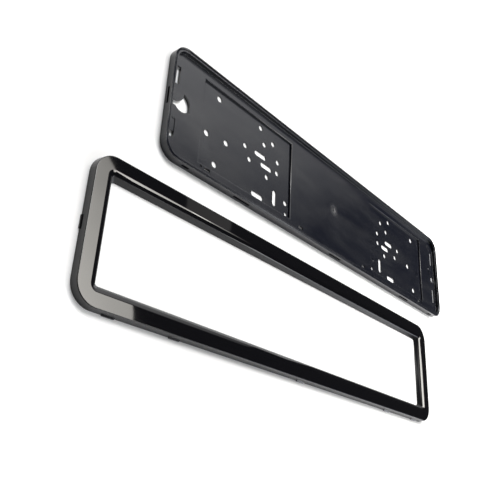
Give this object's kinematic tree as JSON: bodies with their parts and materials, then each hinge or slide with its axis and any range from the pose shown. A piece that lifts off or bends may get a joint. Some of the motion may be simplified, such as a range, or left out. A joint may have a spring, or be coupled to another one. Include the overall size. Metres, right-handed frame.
{
  "type": "number plate holder",
  "caption": "Long moulded holder for a car's number plate: a shallow rimmed back plate with sunk, drilled screw pads, and a clip-on front frame that lies beside it.",
  "frame": {"origin": "middle of the back plate's screw pattern, on the plane that bears on the car", "axes": "+X along the plate, +Y towards its upper edge, +Z out of the car, towards the number plate"},
  "size_m": [0.5918, 0.2744, 0.0087],
  "materials": {
    "satin_black": "satin moulded black",
    "gloss_black": "polished moulded black"
  },
  "bodies": {
    "root": {"back_plate": "satin_black", "front_frame": "gloss_black"}
  },
  "joints": []
}
